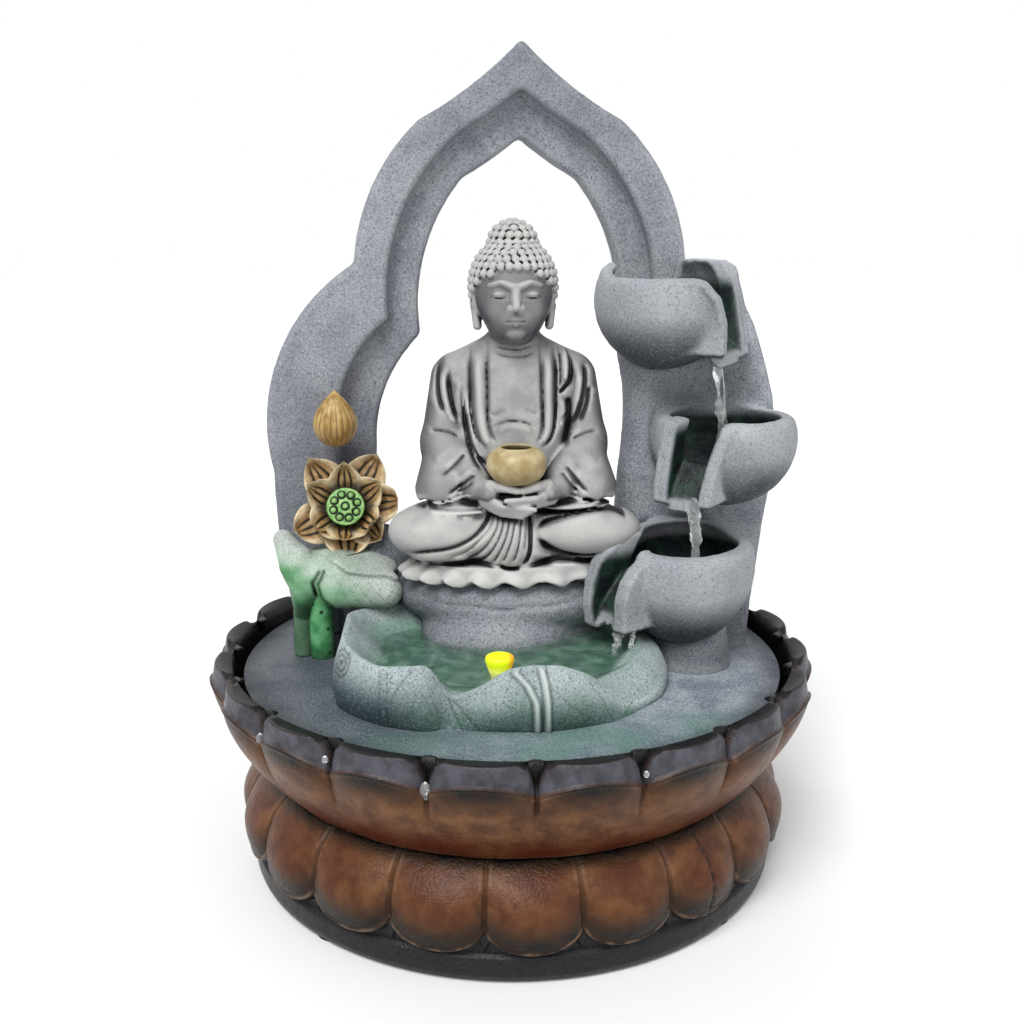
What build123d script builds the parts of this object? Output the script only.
from build123d import *
import os
from math import cos, hypot, radians, sin, sqrt
from typing import NamedTuple

# Tabletop water fountain: a lotus plinth carries a lotus basin with a small pump in its well,
# and a lift-off scene stands in the basin: an arch, three cascade bowls, a leaf pond and a
# seated figure. Millimetres, +Z up, the front looks along -Y, origin on the table at the axis.

# Fits and clearances
glue_gap = 0.25
slip_gap = 0.4
running_gap = 0.05
seat_gap = 0.02

# Plinth: a hollow collar of hanging petals on a plain ring
petal_count = 20
foot_height = 1.5
foot_radius = 4.5
foot_count = 4
ring_radius = 92.0
ring_height = 10.0
plinth_bulge_radius = 96.5
plinth_bulge_height = 22.0
plinth_groove = 5.0
petal_tip_overhang = 1.5
petal_tip_groove = 2.5
plinth_wall = 3.2
waist_radius = 84.0
waist_height = 37.0
waist_groove = 1.0
cord_notch_width = 9.0
cord_notch_height = 6.0

# Basin: rising petals round a well that nests in the plinth
rim_radius = 105.0
rim_height = 75.0
rim_groove = 5.0
flare_power = 0.8
basin_wall = 3.5
lip_step = 1.0
lip_band = 5.4
lip_scallop = 6.5
basin_floor = 4.0
grommet_x = -42.0
grommet_y = 32.0
grommet_bore_radius = 2.75
grommet_wall = 2.0
grommet_flange = 2.5
grommet_flange_height = 2.0

# Deck: the grey plate that the scene stands on
deck_drop = 6.0
deck_thickness = 5.0
drain_gap = 3.5
leg_radius = 4.0
leg_circle = 66.0
leg_count = 4
leg_turn = 70.0

# Pump in the well
pump_width = 26.0
pump_height = 26.0
pump_corner = 4.0
housing_length = 24.0
pump_headroom = 8.0
cup_height = 3.0
cup_radius = 4.0
volute_front_wall = 3.0
chamber_radius = 9.3
chamber_depth = 7.0
chamber_past_hose = 3.0
inlet_circle = 4.1
inlet_radius = 0.9
inlet_count = 4
blade_count = 4
blade_thickness = 1.4
blade_gap = 0.7
hub_radius = 3.2
magnet_radius = 6.5
magnet_gap = 0.5
magnet_length = 16.0
shaft_radius = 1.0
shaft_seat = 2.0
bush_radius = 2.6
bush_thickness = 0.9
bush_play = 0.1
seal_inner_radius = 10.3
seal_width = 1.4
seal_depth = 1.6
nozzle_bore_radius = 1.7
nozzle_length = 9.0
strainer_depth = 5.0
strainer_skin = 2.0
slot_width = 1.5
slot_pitch = 3.6
slot_count = 6
knob_radius = 5.5
knob_thickness = 2.2
knob_gap = 0.3
knob_rib = 1.6
spindle_radius = 1.5
shutter_radius = 4.5
shutter_thickness = 1.0

# Riser hose from the pump to the top bowl
hose_x = 48.0
hose_bore_radius = 2.75
hose_wall = 1.25
hose_clear = 1.2
outlet_wall = 0.8
outlet_height = 8.0

# Arch: a pointed, lobed frame with a stepped recess, drawn from its centre line and the deck
arch_x = 5.0
arch_front = 24.0
arch_depth = 20.0
recess_depth = 6.5

# Cascade bowls and the rock pillar behind them
bowl_wall = 3.5
bowl_floor = 4.0
bowl_depth = 31.0
bowl_foot_share = 0.5
bowl_belly_share = 0.35
bowl_rim_share = 0.96
bowl_haunch_radius_share = 0.86
bowl_haunch_share = 0.74
bowl_mouth_clear = 10.0
spout_width = 12.0
lower_spout_width = 7.0
spout_cheek = 3.5
spout_floor = 3.0
spout_lip = 5.0
lower_rim = 43.5
middle_rise = 42.0
top_rise = 46.0
lower_radius = 22.5
middle_radius = 25.0
top_radius = 24.0
lower_web = 2.5
lower_turn = -64.4
middle_web = 3.0
middle_back_gap = 1.0
top_setback = 11.5
top_shift = 3.5
pillar_foot_reach = 47.5
pillar_knee_reach = 38.5
pillar_waist_reach = 24.0
pillar_chest_reach = 20.0
pillar_head_reach = 17.0
pillar_inset = 1.5
pillar_chest_inset = 3.0
pillar_head_inset = 7.0

# Leaf pond in front of the figure
pond_x = -6.0
pond_y = -26.0
pond_foot = (50.0, 36.0)
pond_belly = (55.0, 40.0)
pond_mouth = (54.0, 39.0)
pond_belly_height = 9.0
pond_height = 19.0
pond_wall = 4.5
pond_floor = 4.0
pond_fold_radius = 8.0
pond_fold_turns = (-110.0, -49.0)

# Light in the pond, its lead under the deck and its socket in the well
led_x = -7.0
led_y = -45.0
holder_radius = 3.6
holder_flange = 1.8
holder_flange_height = 2.0
holder_tail = 7.0
lens_foot_radius = 2.0
lens_radius = 4.7
lens_height = 10.5
lens_round = 2.0
lead_radius = 1.0
lead_drop = 3.5
lead_bend = 6.0
clip_length = 4.0
clip_wall = 1.6
clip_shares = (0.3, 0.62)
socket_x = 12.0
socket_y = -14.0
socket_size = 15.0
socket_height = 12.0
socket_depth = 8.0
plug_radius = 3.0
plug_length = 14.0

# Seated figure on its rock seat, with a bowl in its hands
seat_x = 1.0
seat_y = 4.0
seat_height = 29.0
seat_foot = (39.0, 24.5)
seat_waist = (36.5, 23.5)
seat_crown = (40.0, 24.0)
seat_top = (38.0, 22.0)
seat_waist_height = 13.0
seat_crown_height = 25.0
figure_x = 1.0
hem_y = -3.0
bowl_hold_y = -19.0
bowl_hold_height = 37.0
alms_radius = 9.8
alms_height = 12.5
alms_wall = 2.0
alms_mouth = 6.4

# Rounded forms of the figure: centre from its axis, world y and height above the seat, then half sizes
knee_form = ((23.0, -7.0, 18.7), (19.8, 15.2, 10.2))
lap_form = ((-2.0, -9.5, 16.5), (13.0, 14.2, 12.6))
hip_form = ((0.0, 5.0, 16.0), (36.0, 15.5, 15.0))
belly_form = ((0.0, 2.5, 43.0), (19.0, 13.0, 17.0))
chest_form = ((0.0, 5.5, 58.0), (19.5, 12.5, 25.0))
cuff_form = ((24.8, -9.0, 31.2), (9.6, 8.6, 2.8))
hands_form = ((0.0, -19.5, 33.0), (12.0, 5.5, 4.5))
skull_form = ((0.0, 3.6, 99.5), (13.7, 14.4, 15.0))
face_form = ((0.0, -0.6, 94.6), (11.3, 10.4, 13.4))
topknot_form = ((0.0, 5.2, 112.6), (7.5, 7.9, 7.4))

# Level slices of the hem: height above the seat, then half width and half depth
hem_layers = [(glue_gap, (37, 18)), (6, (39, 19.6)), (10.5, (33, 16))]

# Limbs of the figure: joints from its axis, world y and height above the seat, then the radius there
arm_line = [((5.0, 6.5, 77.0), 7.0), ((18.6, 6.8, 69.0), 8.0)]
arm_line += [((24.2, 4.0, 48.0), 7.5), ((12.5, -14.0, 35.0), 5.0)]
sleeve_line = [((24.5, 0.0, 41.0), 7.4), ((25.5, -7.0, 33.0), 5.4)]
neck_line = [((0.0, 5.5, 72.0), 8.4), ((0.0, 4.2, 88.0), 7.4)]
ear_line = [((12.4, 2.4, 99.0), 2.4), ((11.8, 1.5, 87.0), 1.7)]

# Lotus at the left: leaf on its stem, open flower with its seed pod, and a bud
leaf_centre = (-63.0, 4.0, 27.5)
leaf_half_length = 20.5
leaf_half_width = 13.0
leaf_half_height = 8.5
leaf_end_share = 0.3
stem_x = -69.0
stem_y = 5.0
stem_foot_radius = 5.5
stem_top_radius = 4.6
flower_x = -60.0
flower_y = 14.0
flower_height = 55.0
flower_tilt = 25.0
flower_petals = 8
flower_radius = 18.5
flower_waist_radius = 15.0
flower_depth = 11.0
flower_foot_radius = 8.0
flower_groove = 3.0
flower_floor = 3.0
flower_wall = 2.2
flower_neck = 16.0
pod_radius = 7.4
pod_foot_radius = 4.5
pod_height = 7.0
bud_x = -61.0
bud_y = 17.0
bud_height = 73.0
bud_radius = 7.8
bud_length = 21.0
bud_foot_radius = 3.0
bud_belly_share = 0.42

# Worked out from the driving sizes
plinth_bore = waist_radius - plinth_wall
foot_circle = (plinth_bore + ring_radius) / 2
well_radius = plinth_bore - slip_gap - basin_wall
mouth_radius = rim_radius - rim_groove - basin_wall
deck_top = rim_height - deck_drop
deck_underside = deck_top - deck_thickness
deck_radius = mouth_radius - drain_gap
well_floor = deck_underside - pump_headroom - pump_height - cup_height
basin_underside = well_floor - basin_floor
hose_radius = hose_bore_radius + hose_wall
hose_hole_radius = hose_radius + slip_gap
arch_back = arch_front + arch_depth
bond_y = arch_front - glue_gap
hose_y = bond_y - bowl_wall - hose_radius - hose_clear
pump_top = well_floor + cup_height + pump_height
pump_axis_z = pump_top - pump_height / 2
joint_y = hose_y + chamber_past_hose
front_y = joint_y - chamber_depth - volute_front_wall
rear_y = joint_y + housing_length
nozzle_radius = hose_bore_radius - running_gap
magnet_bore_depth = magnet_length + bush_thickness + 3 * bush_play
seat_z = deck_top + seat_height


def polar(radius, angle):
    """A point at a radius and an angle in degrees."""
    return (radius * cos(radians(angle)), radius * sin(radians(angle)))


def lobed(plane, count, crest, groove, turn):
    """A closed outline of round petals, with its first notch at the angle turn."""
    step = 360 / count
    with BuildSketch(plane) as section:
        with BuildLine():
            for index in range(count):
                start = turn + index * step
                notch = polar(crest - groove, start)
                top = polar(crest, start + step / 2)
                next_notch = polar(crest - groove, start + step)
                ThreePointArc(notch, top, next_notch)
        make_face()
    return section.sketch


def oval(centre, half_sizes, height):
    """A level ellipse at a height above the table."""
    with BuildSketch(Plane((centre[0], centre[1], height))) as section:
        Ellipse(half_sizes[0], half_sizes[1])
    return section.sketch


def bond_plane(y):
    """The upright plane at y, whose kept side is the front."""
    return Plane.XZ.offset(-y)


def pump_face(y):
    """A plane across the pump's axis that extrudes towards the rear."""
    return Plane(origin=(hose_x, y, pump_axis_z), x_dir=(1, 0, 0), z_dir=(0, 1, 0))


def plinth_petals(height, crest, groove):
    """A level outline of the plinth's petals, one of them centred on the front."""
    return lobed(Plane.XY.offset(height), petal_count, crest, groove, -90 - 180 / petal_count)


# Lower plinth: petals hang from the waist over the ring, and the collar is open right through
with BuildPart() as lower_plinth:
    loft(
        sections=[
            plinth_petals(ring_height, ring_radius + petal_tip_overhang, petal_tip_groove),
            plinth_petals(plinth_bulge_height, plinth_bulge_radius, plinth_groove),
            plinth_petals(waist_height, waist_radius, waist_groove),
        ]
    )
    with BuildSketch(Plane.XY.offset(foot_height)):
        Circle(ring_radius)
    extrude(amount=ring_height - foot_height)
    with BuildSketch(Plane.XY.offset(foot_height)):
        Circle(plinth_bore)
    extrude(amount=waist_height, mode=Mode.SUBTRACT)
    with BuildSketch(Plane.XY.offset(foot_height)):
        with Locations((0, foot_circle)):
            Rectangle(cord_notch_width, 2 * (ring_radius - plinth_bore))
    extrude(amount=cord_notch_height, mode=Mode.SUBTRACT)

# Rubber feet under the ring
with BuildPart() as rubber_feet:
    with BuildSketch():
        with PolarLocations(foot_circle, foot_count, start_angle=180 / foot_count):
            Circle(foot_radius)
    extrude(amount=foot_height)


def basin_flare(share):
    """Height, crest radius and groove depth of the basin's petals, from waist to rim."""
    height = waist_height + share * (rim_height - waist_height)
    swell = sin(radians(90 * share)) ** flare_power
    crest = waist_radius + swell * (rim_radius - waist_radius)
    groove = waist_groove + sqrt(share) * (rim_groove - waist_groove)
    return height, crest, groove


def petal_brow(turn):
    """The room over one petal's round top, in front of the lip."""
    across, forth = polar(1, turn)
    plane = Plane(
        origin=(rim_radius * across, rim_radius * forth, rim_height),
        x_dir=(-forth, across, 0),
        z_dir=(across, forth, 0),
    )
    half = (rim_radius - rim_groove) * sin(radians(180 / petal_count)) + slip_gap
    with BuildPart() as room:
        with BuildSketch(plane):
            with BuildLine():
                ThreePointArc((-half, -lip_band - lip_scallop), (0, -lip_band), (half, -lip_band - lip_scallop))
                Polyline((half, -lip_band - lip_scallop), (half, lip_band), (-half, lip_band))
                Line((-half, lip_band), (-half, -lip_band - lip_scallop))
            make_face()
        extrude(amount=2 * rim_groove + basin_wall, both=True)
    return room.part


# Upper basin: the petals, the lip behind their tops, the well spigot, and the inside along the notches
flare_shares = (0.0, 0.25, 0.5, 0.75, 1.0)
inside_line = [(0, well_floor), (well_radius, well_floor), (well_radius, waist_height)]
for share in flare_shares[1:]:
    height, crest, groove = basin_flare(share)
    inside_line.append((crest - groove - basin_wall, height))
inside_line.append((mouth_radius, rim_height + basin_wall))
inside_line.append((0, rim_height + basin_wall))
grommet_radius = grommet_bore_radius + grommet_wall

with BuildPart() as upper_basin:
    petal_sections = []
    for share in flare_shares:
        height, crest, groove = basin_flare(share)
        petal_sections.append(lobed(Plane.XY.offset(height), petal_count, crest, groove, -90))
    loft(sections=petal_sections)
    for index in range(petal_count):
        add(petal_brow(-90 + (index + 0.5) * 360 / petal_count), mode=Mode.SUBTRACT)
    lip_sections = []
    for share in flare_shares[1:]:
        height, crest, groove = basin_flare(share)
        lip_sections.append(lobed(Plane.XY.offset(height), petal_count, crest - lip_step, groove, -90))
    loft(sections=lip_sections)
    with BuildSketch(Plane.XY.offset(basin_underside)):
        Circle(well_radius + basin_wall)
    extrude(amount=waist_height + basin_wall - basin_underside)
    with BuildSketch(Plane.XZ):
        with BuildLine():
            Polyline(*inside_line, close=True)
        make_face()
    revolve(axis=Axis.Z, mode=Mode.SUBTRACT)
    with BuildSketch(Plane.XY.offset(basin_underside)):
        with Locations((grommet_x, grommet_y)):
            Circle(grommet_radius + seat_gap)
    extrude(amount=basin_floor, mode=Mode.SUBTRACT)

# Grommet in the well's floor, where the mains cord goes out through the hollow plinth
with BuildPart() as cord_grommet:
    with BuildSketch(Plane.XY.offset(basin_underside)):
        with Locations((grommet_x, grommet_y)):
            Circle(grommet_radius)
    extrude(amount=basin_floor)
    with BuildSketch(Plane.XY.offset(well_floor)):
        with Locations((grommet_x, grommet_y)):
            Circle(grommet_radius + grommet_flange)
    extrude(amount=grommet_flange_height)
    with BuildSketch(Plane.XY.offset(basin_underside)):
        with Locations((grommet_x, grommet_y)):
            Circle(grommet_bore_radius)
    extrude(amount=basin_floor + grommet_flange_height, mode=Mode.SUBTRACT)

# Pump housing: the sealed motor block with the magnet's bore
bore_radius = magnet_radius + magnet_gap
with BuildPart() as pump_housing:
    with BuildSketch(pump_face(joint_y)):
        RectangleRounded(pump_width, pump_height, pump_corner)
    extrude(amount=housing_length)
    with BuildSketch(pump_face(joint_y)):
        Circle(bore_radius)
    extrude(amount=magnet_bore_depth, mode=Mode.SUBTRACT)
    with BuildSketch(pump_face(joint_y)):
        Circle(seal_inner_radius + seal_width)
        Circle(seal_inner_radius, mode=Mode.SUBTRACT)
    extrude(amount=seal_depth, mode=Mode.SUBTRACT)
    with BuildSketch(pump_face(joint_y)):
        Circle(shaft_radius + seat_gap)
    extrude(amount=magnet_bore_depth + shaft_seat, mode=Mode.SUBTRACT)

# Seal ring in the housing's groove
with BuildPart() as pump_seal_ring:
    with BuildSketch(pump_face(joint_y)):
        Circle(seal_inner_radius + seal_width - seat_gap)
        Circle(seal_inner_radius + seat_gap, mode=Mode.SUBTRACT)
    extrude(amount=seal_depth)

# Volute cover: the impeller's chamber, its inlets round the shaft seat, and the outlet nozzle
with BuildPart() as pump_volute_cover:
    with BuildSketch(pump_face(front_y)):
        RectangleRounded(pump_width, pump_height, pump_corner)
    extrude(amount=joint_y - front_y)
    with BuildSketch(Plane.XY.offset(pump_axis_z)):
        with Locations((hose_x, hose_y)):
            Circle(nozzle_radius)
    extrude(amount=pump_height / 2 + nozzle_length)
    with BuildSketch(pump_face(joint_y - chamber_depth)):
        Circle(chamber_radius)
    extrude(amount=chamber_depth, mode=Mode.SUBTRACT)
    with BuildSketch(Plane.XY.offset(pump_axis_z)):
        with Locations((hose_x, hose_y)):
            Circle(nozzle_bore_radius)
    extrude(amount=pump_height / 2 + nozzle_length, mode=Mode.SUBTRACT)
    with BuildSketch(pump_face(front_y)):
        with PolarLocations(inlet_circle, inlet_count):
            Circle(inlet_radius)
    extrude(amount=volute_front_wall, mode=Mode.SUBTRACT)
    with BuildSketch(pump_face(joint_y - chamber_depth - shaft_seat)):
        Circle(shaft_radius + seat_gap)
    extrude(amount=shaft_seat, mode=Mode.SUBTRACT)

# Ceramic shaft, fixed in the volute and in the housing
shaft_front = joint_y - chamber_depth - shaft_seat
with BuildPart() as rotor_shaft:
    with BuildSketch(pump_face(shaft_front)):
        Circle(shaft_radius)
    extrude(amount=chamber_depth + magnet_bore_depth + 2 * shaft_seat)

# Thrust bushes at both ends of the shaft
with BuildPart() as rotor_bushes:
    for bush_y in (joint_y - chamber_depth, joint_y + magnet_bore_depth - bush_thickness):
        with BuildSketch(pump_face(bush_y)):
            Circle(bush_radius)
            Circle(shaft_radius + seat_gap, mode=Mode.SUBTRACT)
        extrude(amount=bush_thickness)

# Rotor: magnet, hub and impeller blades in one moulding that turns on the shaft
rotor_front = joint_y - chamber_depth + bush_thickness + bush_play
rotor_rear = joint_y + magnet_bore_depth - bush_thickness - bush_play
blade_radius = chamber_radius - blade_gap
blade_width = chamber_depth - bush_thickness - 2 * bush_play - blade_gap
with BuildPart() as pump_rotor:
    with BuildSketch(pump_face(rotor_front)):
        Circle(hub_radius)
    extrude(amount=rotor_rear - rotor_front)
    with BuildSketch(pump_face(rotor_rear - magnet_length)):
        Circle(magnet_radius)
    extrude(amount=magnet_length)
    with BuildSketch(pump_face(rotor_front)):
        with PolarLocations(blade_radius / 2, blade_count):
            Rectangle(blade_radius, blade_thickness)
    extrude(amount=blade_width)
    with BuildSketch(pump_face(rotor_front)):
        Circle(shaft_radius + running_gap)
    extrude(amount=rotor_rear - rotor_front, mode=Mode.SUBTRACT)

# Suction cups that hold the pump on the well's floor
cup_inset = cup_radius + pump_corner / 2
with BuildPart() as pump_suction_cups:
    with Locations((hose_x, (front_y + rear_y) / 2, well_floor)):
        with GridLocations(pump_width - 2 * cup_inset, rear_y - front_y - 2 * cup_inset, 2, 2):
            Cone(cup_radius, cup_radius / 2, cup_height, align=(Align.CENTER, Align.CENTER, Align.MIN))

# Strainer: a slotted cap that pulls off the pump's front
strainer_front = front_y - strainer_depth
slot_height = pump_height - 2 * pump_corner
with BuildPart() as pump_strainer:
    with BuildSketch(pump_face(strainer_front)):
        RectangleRounded(pump_width, pump_height, pump_corner)
    extrude(amount=strainer_depth)
    with BuildSketch(pump_face(strainer_front + strainer_skin)):
        RectangleRounded(pump_width - 2 * strainer_skin, pump_height - 2 * strainer_skin, pump_corner / 2)
    extrude(amount=strainer_depth - strainer_skin, mode=Mode.SUBTRACT)
    with BuildSketch(pump_face(strainer_front)):
        with GridLocations(slot_pitch, 0, slot_count, 1):
            SlotOverall(slot_height, slot_width, rotation=90)
        Circle(spindle_radius + 2 * strainer_skin, mode=Mode.SUBTRACT)
    extrude(amount=strainer_skin, mode=Mode.SUBTRACT)
    with BuildSketch(pump_face(strainer_front)):
        Circle(spindle_radius + running_gap)
    extrude(amount=strainer_skin, mode=Mode.SUBTRACT)

# Flow regulator: a ribbed knob with a spindle through the strainer and a half-round shutter
knob_front = strainer_front - knob_gap - knob_thickness
with BuildPart() as flow_regulator:
    with BuildSketch(pump_face(knob_front)):
        Circle(knob_radius)
    extrude(amount=knob_thickness)
    with BuildSketch(pump_face(knob_front - knob_rib)):
        Rectangle(2 * knob_radius - knob_rib, knob_rib)
    extrude(amount=knob_rib)
    with BuildSketch(pump_face(knob_front)):
        Circle(spindle_radius)
    extrude(amount=knob_thickness + knob_gap + strainer_skin + knob_gap + shutter_thickness)
    with BuildSketch(pump_face(strainer_front + strainer_skin + knob_gap)):
        Circle(shutter_radius)
        with Locations((0, shutter_radius)):
            Rectangle(2 * shutter_radius, 2 * (shutter_radius - spindle_radius), mode=Mode.SUBTRACT)
    extrude(amount=shutter_thickness)

# Socket block for the light, on the well's floor
with BuildPart() as led_socket:
    with BuildSketch(Plane.XY.offset(well_floor)):
        with Locations((socket_x, socket_y)):
            RectangleRounded(socket_size, socket_size, socket_size / 5)
    extrude(amount=socket_height)
    with BuildSketch(Plane.XY.offset(well_floor + socket_height - socket_depth)):
        with Locations((socket_x, socket_y)):
            Circle(plug_radius + slip_gap)
    extrude(amount=socket_depth, mode=Mode.SUBTRACT)

# Deck plate on four legs, with holes for the hose and the light
holder_hole_radius = holder_radius + slip_gap
with BuildPart() as deck_plate:
    with BuildSketch(Plane.XY.offset(deck_underside)):
        Circle(deck_radius)
    extrude(amount=deck_thickness)
    with BuildSketch(Plane.XY.offset(well_floor)):
        with PolarLocations(leg_circle, leg_count, start_angle=leg_turn):
            Circle(leg_radius)
    extrude(amount=deck_underside - well_floor)
    with BuildSketch(Plane.XY.offset(deck_underside)):
        with Locations((hose_x, hose_y)):
            Circle(hose_hole_radius)
        with Locations((led_x, led_y)):
            Circle(holder_hole_radius)
    extrude(amount=deck_thickness, mode=Mode.SUBTRACT)


class ArchLine(NamedTuple):
    """Half of a pointed, lobed outline: points from the centre line, heights above the deck."""

    peak: float
    shoulder: tuple
    cusp: tuple
    lobe: tuple
    foot: float
    brow_sag: float
    shoulder_sag: float
    lobe_sag: float
    foot_sag: float


outer_line = ArchLine(
    peak=208.5,
    shoulder=(34.7, 182.6),
    cusp=(58.0, 135.0),
    lobe=(88.7, 62.0),
    foot=82.0,
    brow_sag=-1.7,
    shoulder_sag=5.2,
    lobe_sag=13.0,
    foot_sag=1.8,
)
recess_line = ArchLine(
    peak=193.0,
    shoulder=(21.3, 178.4),
    cusp=(46.5, 116.0),
    lobe=(65.0, 81.0),
    foot=66.0,
    brow_sag=-0.6,
    shoulder_sag=8.5,
    lobe_sag=4.5,
    foot_sag=0.4,
)
opening_line = ArchLine(
    peak=177.5,
    shoulder=(20.0, 164.0),
    cusp=(35.6, 110.0),
    lobe=(52.4, 68.4),
    foot=55.0,
    brow_sag=-0.6,
    shoulder_sag=6.0,
    lobe_sag=4.8,
    foot_sag=0.4,
)


def arch_outline(line, y):
    """The closed outline on the upright plane at y, mirrored about the arch's centre line."""
    plane = Plane(origin=(arch_x, y, deck_top), x_dir=(1, 0, 0), z_dir=(0, -1, 0))
    with BuildSketch(plane) as section:
        with BuildLine():
            SagittaArc((0, line.peak), line.shoulder, line.brow_sag)
            SagittaArc(line.shoulder, line.cusp, line.shoulder_sag)
            SagittaArc(line.cusp, line.lobe, line.lobe_sag)
            SagittaArc(line.lobe, (line.foot, 0), line.foot_sag)
            mirror(about=Plane.YZ)
            Line((line.foot, 0), (-line.foot, 0))
        make_face()
    return section.sketch


# Niche arch: the lobed slab, its stepped recess and its opening, with feet inside the deck's edge
with BuildPart() as niche_arch:
    extrude(arch_outline(outer_line, arch_back), amount=arch_depth)
    extrude(arch_outline(recess_line, arch_front + recess_depth), amount=recess_depth, mode=Mode.SUBTRACT)
    extrude(arch_outline(opening_line, arch_back), amount=arch_depth, mode=Mode.SUBTRACT)
    with BuildSketch(Plane.XY.offset(deck_top)):
        Circle(2 * deck_radius)
        Circle(deck_radius - slip_gap, mode=Mode.SUBTRACT)
    extrude(amount=2 * deck_drop, mode=Mode.SUBTRACT)


class Bowl(NamedTuple):
    """A cascade bowl: its axis, rim height, radius, and the spout's direction, width and fall."""

    x: float
    y: float
    rim: float
    radius: float
    spout_angle: float
    spout_width: float
    spout_start: float
    spout_drop: float
    spout_reach: float


lower_spacing = hose_hole_radius + lower_web + lower_radius
middle_spacing = hose_hole_radius + middle_web + middle_radius
lower_offset = polar(lower_spacing, lower_turn)
middle_y = arch_front - middle_back_gap - middle_radius
middle_x = hose_x + sqrt(middle_spacing**2 - (hose_y - middle_y) ** 2)
lower_rim_z = deck_top + lower_rim
middle_rim_z = lower_rim_z + middle_rise
top_rim_z = middle_rim_z + top_rise

lower = Bowl(
    x=hose_x + lower_offset[0],
    y=hose_y + lower_offset[1],
    rim=lower_rim_z,
    radius=lower_radius,
    spout_angle=214,
    spout_width=lower_spout_width,
    spout_start=9,
    spout_drop=17.5,
    spout_reach=9,
)
middle = Bowl(
    x=middle_x,
    y=middle_y,
    rim=middle_rim_z,
    radius=middle_radius,
    spout_angle=240,
    spout_width=spout_width,
    spout_start=15,
    spout_drop=25,
    spout_reach=5,
)
top = Bowl(
    x=hose_x + top_shift,
    y=hose_y - top_setback,
    rim=top_rim_z,
    radius=top_radius,
    spout_angle=319,
    spout_width=spout_width,
    spout_start=14,
    spout_drop=24,
    spout_reach=5,
)


def turned_bowl(bowl, inset, floor, crown):
    """The bowl's round outer form, drawn in or out by inset, raised by floor, open to crown."""
    plane = Plane(origin=(bowl.x, bowl.y, bowl.rim), x_dir=(1, 0, 0), z_dir=(0, -1, 0))
    base = floor - bowl_depth
    foot = (bowl.radius * bowl_foot_share, base)
    haunch = (bowl.radius * bowl_haunch_radius_share - inset, -bowl_depth * bowl_haunch_share + floor / 2)
    belly = (bowl.radius - inset, -bowl_depth * bowl_belly_share)
    rim = (bowl.radius * bowl_rim_share - inset, crown)
    with BuildPart() as form:
        with BuildSketch(plane):
            with BuildLine():
                Line((0, base), foot)
                ThreePointArc(foot, haunch, belly)
                Polyline(belly, rim, (0, crown), (0, base))
            make_face()
        revolve(axis=Axis((bowl.x, bowl.y, 0), (0, 0, 1)))
    return form.part


def spout_side(bowl, points, half_width):
    """A slab in the spout's upright plane, from points given as reach and height from the rim."""
    direction = polar(1, bowl.spout_angle)
    plane = Plane(
        origin=(bowl.x, bowl.y, bowl.rim),
        x_dir=(direction[0], direction[1], 0),
        z_dir=(direction[1], -direction[0], 0),
    )
    with BuildPart() as slab:
        with BuildSketch(plane):
            with BuildLine():
                Polyline(*points, close=True)
            make_face()
        extrude(amount=half_width, both=True)
    return slab.part


def cascade_bowl(bowl, back_y):
    """A bowl with a falling spout, cut flat at back_y, with its wall kept there."""
    tip = bowl.radius + bowl.spout_reach
    root = bowl.radius / 2
    chute = [
        (root, -bowl.spout_start - spout_floor),
        (tip, -bowl.spout_drop - spout_floor),
        (tip, spout_lip - bowl.spout_drop),
        (bowl.radius * bowl_rim_share, 0),
        (root, 0),
    ]
    channel = [
        (0, -bowl.spout_start),
        (root, -bowl.spout_start),
        (tip + spout_lip, -bowl.spout_drop - spout_lip * (bowl.spout_drop - bowl.spout_start) / (tip - root)),
        (tip + spout_lip, bowl_wall),
        (0, bowl_wall),
    ]
    cavity = split(
        turned_bowl(bowl, bowl_wall, bowl_floor, bowl_wall), bond_plane(back_y - bowl_wall), mode=Mode.PRIVATE
    )
    with BuildPart() as cup:
        add(turned_bowl(bowl, 0, 0, 0))
        add(spout_side(bowl, chute, bowl.spout_width / 2 + spout_cheek))
        add(cavity, mode=Mode.SUBTRACT)
        add(spout_side(bowl, channel, bowl.spout_width / 2), mode=Mode.SUBTRACT)
        split(bisect_by=bond_plane(back_y))
    return cup


def bowl_envelope(bowl):
    """The room that a bowl takes in the rock round it, with the glue gap and a clear mouth."""
    return turned_bowl(bowl, -glue_gap, -glue_gap, bowl_mouth_clear)


lower_bowl = cascade_bowl(lower, bond_y)
middle_bowl = cascade_bowl(middle, bond_y)
with BuildPart() as top_bowl:
    add(cascade_bowl(top, bond_y).part)
    with BuildSketch(Plane.XY.offset(top.rim - bowl_depth)):
        with Locations((hose_x, hose_y)):
            Circle(hose_hole_radius)
    extrude(amount=bowl_depth, mode=Mode.SUBTRACT)


def rock_section(height, centre_x, half_width, reach):
    """A D-shaped section of the pillar: flat against the arch, round towards the front."""
    with BuildSketch(Plane.XY.offset(height)) as section:
        with BuildLine():
            EllipticalCenterArc((centre_x, bond_y), half_width, reach, 180, arc_size=180)
            Line((centre_x + half_width, bond_y), (centre_x - half_width, bond_y))
        make_face()
    return section.sketch


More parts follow.
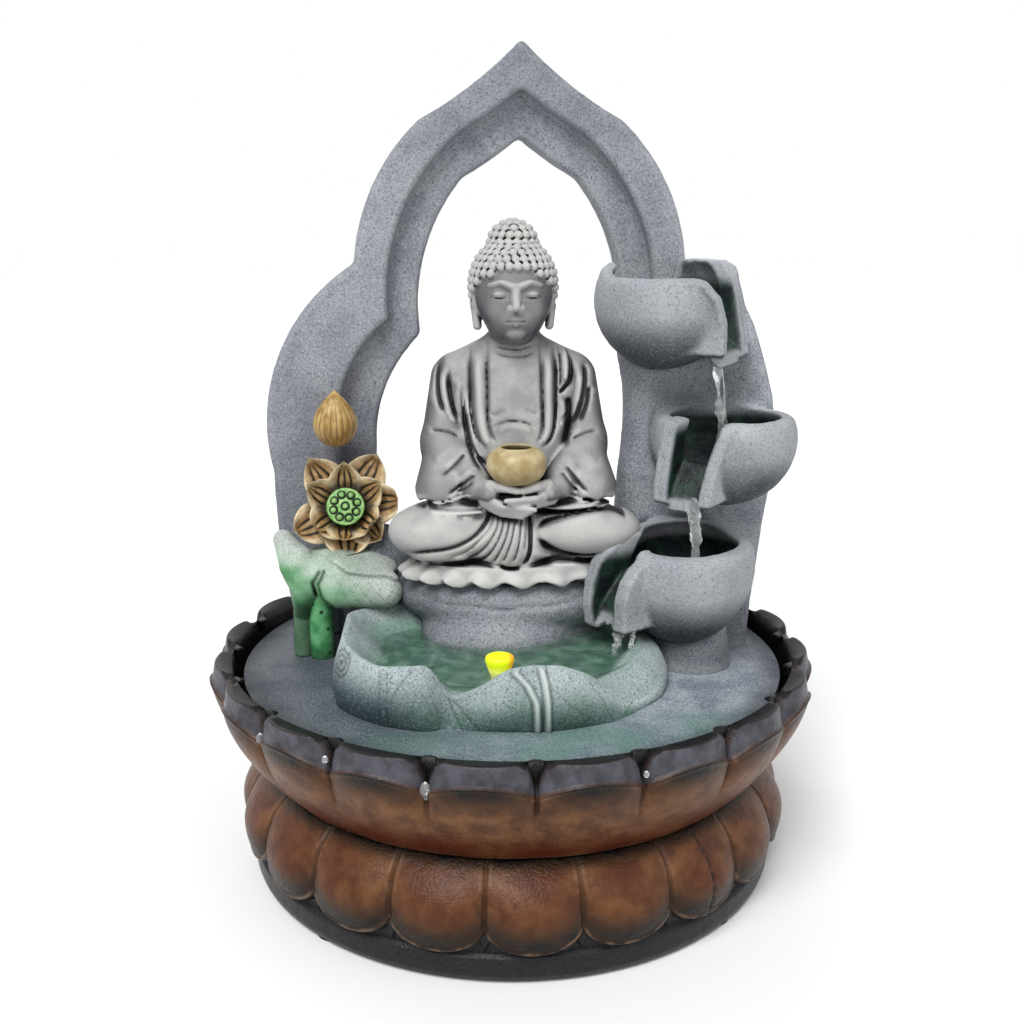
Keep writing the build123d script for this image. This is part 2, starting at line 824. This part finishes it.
# Cascade pillar: rock in front of the arch's right leg, hollowed for the bowls and the hose
pillar_top = top.rim - bowl_depth * bowl_haunch_share
chest_x = (middle.x + hose_x) / 2
with BuildPart() as cascade_pillar:
    loft(
        sections=[
            rock_section(deck_top, lower.x, lower_radius - pillar_inset, pillar_foot_reach),
            rock_section(lower.rim - bowl_depth / 2, lower.x, lower_radius - pillar_inset, pillar_knee_reach),
            rock_section(lower.rim, lower.x, lower_radius - pillar_inset, pillar_waist_reach),
            rock_section(middle.rim, chest_x, middle_radius - pillar_chest_inset, pillar_chest_reach),
            rock_section(pillar_top, top.x, top_radius - pillar_head_inset, pillar_head_reach),
        ]
    )
    for bowl in (lower, middle, top):
        add(bowl_envelope(bowl), mode=Mode.SUBTRACT)
    with BuildSketch(Plane.XY.offset(deck_top)):
        with Locations((hose_x, hose_y)):
            Circle(hose_hole_radius)
    extrude(amount=top.rim - deck_top, mode=Mode.SUBTRACT)

# Riser hose from the nozzle up through the deck, the pillar and the top bowl's floor
outlet_top = top.rim - outlet_height
with BuildPart() as riser_hose:
    with BuildSketch(Plane.XY.offset(pump_top)):
        with Locations((hose_x, hose_y)):
            Circle(hose_radius)
            Circle(hose_bore_radius, mode=Mode.SUBTRACT)
    extrude(amount=outlet_top - pump_top)

# Outlet collar on the hose's end in the top bowl
with BuildPart() as hose_outlet:
    with BuildSketch(Plane.XY.offset(outlet_top - outlet_height)):
        with Locations((hose_x, hose_y)):
            Circle(hose_radius + outlet_wall)
            Circle(hose_radius + seat_gap, mode=Mode.SUBTRACT)
    extrude(amount=outlet_height)

# Rock seat under the figure
seat_centre = (seat_x, seat_y)
with BuildPart() as figure_pedestal:
    loft(
        sections=[
            oval(seat_centre, seat_foot, deck_top),
            oval(seat_centre, seat_waist, deck_top + seat_waist_height),
            oval(seat_centre, seat_crown, deck_top + seat_crown_height),
            oval(seat_centre, seat_top, seat_z),
        ]
    )
    add(bowl_envelope(lower), mode=Mode.SUBTRACT)

# Room that the seat takes out of the pond, with the glue gap
with BuildPart() as seat_room:
    loft(
        sections=[
            oval(seat_centre, [size + glue_gap for size in seat_foot], deck_top),
            oval(seat_centre, [size + glue_gap for size in seat_waist], deck_top + seat_waist_height),
            oval(seat_centre, [size + glue_gap for size in seat_crown], deck_top + seat_crown_height),
            oval(seat_centre, [size + glue_gap for size in seat_top], seat_z),
        ]
    )

# Leaf pond: an oval bowl against the seat, with two folds in its rim and the light's hole in its floor
pond_centre = (pond_x, pond_y)
with BuildPart() as lotus_pond:
    loft(
        sections=[
            oval(pond_centre, pond_foot, deck_top),
            oval(pond_centre, pond_belly, deck_top + pond_belly_height),
            oval(pond_centre, pond_mouth, deck_top + pond_height),
        ]
    )
    loft(
        sections=[
            oval(pond_centre, [size - pond_wall for size in pond_foot], deck_top + pond_floor),
            oval(pond_centre, [size - pond_wall for size in pond_belly], deck_top + pond_belly_height),
            oval(pond_centre, [size - pond_wall for size in pond_mouth], deck_top + pond_height),
        ],
        mode=Mode.SUBTRACT,
    )
    for turn in pond_fold_turns:
        across, forth = polar(1, turn)
        fold_x = pond_x + pond_mouth[0] * across
        fold_y = pond_y + pond_mouth[1] * forth
        with Locations((fold_x, fold_y, deck_top + pond_height)):
            Sphere(pond_fold_radius, mode=Mode.SUBTRACT)
    with BuildSketch(Plane.XY.offset(deck_top)):
        with Locations((led_x, led_y)):
            Circle(holder_hole_radius)
    extrude(amount=pond_floor, mode=Mode.SUBTRACT)
    add(seat_room.part, mode=Mode.SUBTRACT)
    add(bowl_envelope(lower), mode=Mode.SUBTRACT)

# Light holder: a flanged plug through the pond's floor and the deck
pond_bed = deck_top + pond_floor
holder_bottom = deck_underside - holder_tail
with BuildPart() as led_holder:
    with BuildSketch(Plane.XY.offset(holder_bottom)):
        with Locations((led_x, led_y)):
            Circle(holder_radius)
    extrude(amount=pond_bed - holder_bottom)
    with BuildSketch(Plane.XY.offset(pond_bed)):
        with Locations((led_x, led_y)):
            Circle(holder_hole_radius + holder_flange)
    extrude(amount=holder_flange_height)

# Light lens: an upturned cone with a rounded top
with BuildPart() as led_lens:
    with Locations((led_x, led_y, pond_bed + holder_flange_height)):
        Cone(lens_foot_radius, lens_radius, lens_height, align=(Align.CENTER, Align.CENTER, Align.MIN))
    fillet(led_lens.edges().sort_by(Axis.Z)[-1], lens_round)

# Light lead: straight under the deck from the holder, then one bend down to its plug
lead_z = deck_underside - lead_drop
lead_run = hypot(socket_x - led_x, socket_y - led_y)
lead_way = ((socket_x - led_x) / lead_run, (socket_y - led_y) / lead_run)
lead_start = (
    led_x + lead_way[0] * (holder_radius + seat_gap),
    led_y + lead_way[1] * (holder_radius + seat_gap),
    lead_z,
)
plug_bottom = well_floor + socket_height - socket_depth + slip_gap
plug_top = plug_bottom + plug_length
socket_place = (socket_x, socket_y)
with BuildPart() as led_lead:
    with BuildLine() as lead_line:
        FilletPolyline(lead_start, (*socket_place, lead_z), (*socket_place, plug_top), radius=lead_bend)
    with BuildSketch(Plane(origin=lead_start, z_dir=(lead_way[0], lead_way[1], 0))):
        Circle(lead_radius)
    sweep()
print("light lead: bend radius", lead_bend, "length", round(lead_line.wires()[0].length, 2))

# Plug on the lead, standing in the socket block
with BuildPart() as led_plug:
    with BuildSketch(Plane.XY.offset(plug_bottom)):
        with Locations((socket_x, socket_y)):
            Circle(plug_radius)
    extrude(amount=plug_length)

# Clips that hold the lead under the deck
with BuildPart() as lead_clips:
    for share in clip_shares:
        clip_origin = (
            led_x + lead_way[0] * lead_run * share - lead_way[0] * clip_length / 2,
            led_y + lead_way[1] * lead_run * share - lead_way[1] * clip_length / 2,
            lead_z,
        )
        with BuildSketch(Plane(origin=clip_origin, x_dir=(0, 0, 1), z_dir=(lead_way[0], lead_way[1], 0))):
            with Locations(((lead_drop - lead_radius - clip_wall) / 2, 0)):
                Rectangle(lead_drop + lead_radius + clip_wall, 2 * (lead_radius + clip_wall))
            Circle(lead_radius + seat_gap, mode=Mode.SUBTRACT)
        extrude(amount=clip_length)


def from_seat(point, side):
    """A point of the figure in the fountain's frame, on the side 1 or -1 of its axis."""
    return (figure_x + side * point[0], point[1], seat_z + point[2])


def egg(form, side):
    """A rounded form: a loft through level ellipses that swell towards its centre."""
    x, y, z = from_seat(form[0], side)
    across, forth, up = form[1]
    sections = []
    for share in (-0.95, -0.6, 0, 0.6, 0.95):
        swell = sqrt(1 - share**2)
        sections.append(oval((x, y), (across * swell, forth * swell), z + up * share))
    with BuildPart() as rounded:
        loft(sections=sections)
    return rounded.part


def limb(line, side):
    """A round limb along a line of joints, with a ball at each joint."""
    joints = [(from_seat(point, side), radius) for point, radius in line]
    with BuildPart() as tapered:
        for (start, start_radius), (end, end_radius) in zip(joints, joints[1:]):
            way = Vector(*end) - Vector(*start)
            with BuildSketch(Plane(origin=start, z_dir=way)) as first:
                Circle(start_radius)
            with BuildSketch(Plane(origin=end, z_dir=way)) as last:
                Circle(end_radius)
            loft(sections=[first.sketch, last.sketch])
        for place, radius in joints:
            with Locations(place):
                Sphere(radius)
    return tapered.part


# Alms bowl: a round cup in the figure's hands
hold_z = seat_z + bowl_hold_height
alms_plane = Plane(origin=(figure_x, bowl_hold_y, hold_z), x_dir=(1, 0, 0), z_dir=(0, -1, 0))


def alms_form(inset, floor, crown):
    """The cup's round form, drawn in by inset, raised by floor and open to crown."""
    with BuildPart() as form:
        with BuildSketch(alms_plane):
            with BuildLine():
                Line((0, floor), (alms_radius / 2, floor))
                ThreePointArc(
                    (alms_radius / 2, floor),
                    (alms_radius - inset, alms_height / 2),
                    (alms_mouth + alms_wall - inset, alms_height),
                )
                Polyline(
                    (alms_mouth + alms_wall - inset, alms_height), (0, alms_height + crown), (0, floor)
                )
            make_face()
        revolve(axis=Axis((figure_x, bowl_hold_y, 0), (0, 0, 1)))
    return form.part


with BuildPart() as alms_bowl:
    add(alms_form(0, 0, 0))
    add(alms_form(alms_wall, alms_wall, alms_wall), mode=Mode.SUBTRACT)

# Seated figure: crossed legs, torso, arms with joined hands, neck, head and topknot in one casting
with BuildPart() as seated_figure:
    loft(sections=[oval((figure_x, hem_y), half_sizes, seat_z + rise) for rise, half_sizes in hem_layers])
    for form in (hip_form, lap_form, belly_form, chest_form, hands_form, skull_form, face_form, topknot_form):
        add(egg(form, 1))
    add(limb(neck_line, 1))
    for side in (-1, 1):
        add(egg(knee_form, side))
        add(egg(cuff_form, side))
        add(limb(arm_line, side))
        add(limb(sleeve_line, side))
        add(limb(ear_line, side))
    add(bowl_envelope(lower), mode=Mode.SUBTRACT)
    add(alms_form(-glue_gap, -glue_gap, alms_height), mode=Mode.SUBTRACT)


def leaf_form(grow):
    """The curled leaf: upright ellipses along X, swelling to the middle."""
    centre_x, centre_y, rise = leaf_centre
    sections = []
    for share in (-1, -0.55, 0, 0.55, 1):
        swell = leaf_end_share + (1 - leaf_end_share) * sqrt(1 - share**2)
        along = centre_x + share * (leaf_half_length + grow)
        plane = Plane(origin=(along, centre_y, deck_top + rise), x_dir=(0, 1, 0), z_dir=(1, 0, 0))
        with BuildSketch(plane) as section:
            Ellipse(leaf_half_width * swell + grow, leaf_half_height * swell + grow)
        sections.append(section.sketch)
    with BuildPart() as form:
        loft(sections=sections)
        split(bisect_by=bond_plane(bond_y))
    return form.part


with BuildPart() as lotus_leaf:
    add(leaf_form(0))

# Stem under the leaf
with BuildPart() as leaf_stem:
    with Locations((stem_x, stem_y, deck_top)):
        Cone(
            stem_foot_radius,
            stem_top_radius,
            leaf_centre[2],
            align=(Align.CENTER, Align.CENTER, Align.MIN),
        )
    add(leaf_form(glue_gap), mode=Mode.SUBTRACT)

# Lotus flower: petals in a cup that faces the front, on a neck bonded to the arch
flower_way = (0, -cos(radians(flower_tilt)), sin(radians(flower_tilt)))
flower_plane = Plane(origin=(flower_x, flower_y, deck_top + flower_height), x_dir=(1, 0, 0), z_dir=flower_way)


def flower_ring(rise, crest, groove):
    """An outline of the flower's petals at a rise along its axis."""
    return lobed(flower_plane.offset(rise), flower_petals, crest, groove, 0)


with BuildPart() as lotus_flower:
    loft(
        sections=[
            flower_ring(0, flower_foot_radius, flower_groove / 3),
            flower_ring(flower_depth / 2, flower_waist_radius, flower_groove),
            flower_ring(flower_depth, flower_radius, flower_groove),
        ]
    )
    with BuildSketch(flower_plane.offset(-flower_neck)):
        Circle(flower_foot_radius - flower_groove / 3)
    extrude(amount=flower_neck + flower_floor)
    with BuildSketch(flower_plane.offset(flower_floor)) as cup_floor:
        Circle(flower_foot_radius - flower_wall)
    with BuildSketch(flower_plane.offset(flower_depth)) as cup_mouth:
        Circle(flower_radius - flower_groove - flower_wall)
    loft(sections=[cup_floor.sketch, cup_mouth.sketch], mode=Mode.SUBTRACT)
    split(bisect_by=bond_plane(bond_y))

# Seed pod in the flower's middle
with BuildPart() as lotus_seed_pod:
    with BuildSketch(flower_plane.offset(flower_floor)) as pod_foot:
        Circle(pod_foot_radius)
    with BuildSketch(flower_plane.offset(flower_floor + pod_height)) as pod_face:
        Circle(pod_radius)
    loft(sections=[pod_foot.sketch, pod_face.sketch])

# Lotus bud against the arch
bud_plane = Plane(origin=(bud_x, bud_y, deck_top + bud_height), x_dir=(1, 0, 0), z_dir=(0, -1, 0))
with BuildPart() as lotus_bud:
    with BuildSketch(bud_plane):
        with BuildLine():
            Line((0, 0), (bud_foot_radius, 0))
            Spline((bud_foot_radius, 0), (bud_radius, bud_length * bud_belly_share), (0, bud_length))
            Line((0, bud_length), (0, 0))
        make_face()
    revolve(axis=Axis((bud_x, bud_y, 0), (0, 0, 1)))
    split(bisect_by=bond_plane(bond_y))

pieces = {
    "lower_plinth": lower_plinth,
    "rubber_feet": rubber_feet,
    "upper_basin": upper_basin,
    "cord_grommet": cord_grommet,
    "pump_housing": pump_housing,
    "pump_seal_ring": pump_seal_ring,
    "pump_volute_cover": pump_volute_cover,
    "rotor_shaft": rotor_shaft,
    "rotor_bushes": rotor_bushes,
    "pump_rotor": pump_rotor,
    "pump_suction_cups": pump_suction_cups,
    "pump_strainer": pump_strainer,
    "flow_regulator": flow_regulator,
    "led_socket": led_socket,
    "deck_plate": deck_plate,
    "niche_arch": niche_arch,
    "cascade_pillar": cascade_pillar,
    "top_bowl": top_bowl,
    "middle_bowl": middle_bowl,
    "lower_bowl": lower_bowl,
    "riser_hose": riser_hose,
    "hose_outlet": hose_outlet,
    "figure_pedestal": figure_pedestal,
    "seated_figure": seated_figure,
    "alms_bowl": alms_bowl,
    "lotus_pond": lotus_pond,
    "led_holder": led_holder,
    "led_lens": led_lens,
    "led_lead": led_lead,
    "led_plug": led_plug,
    "lead_clips": lead_clips,
    "lotus_leaf": lotus_leaf,
    "leaf_stem": leaf_stem,
    "lotus_flower": lotus_flower,
    "lotus_seed_pod": lotus_seed_pod,
    "lotus_bud": lotus_bud,
}
os.makedirs("parts", exist_ok=True)
for name, piece in pieces.items():
    piece.part.label = name
    export_step(piece.part, f"parts/{name}.step")
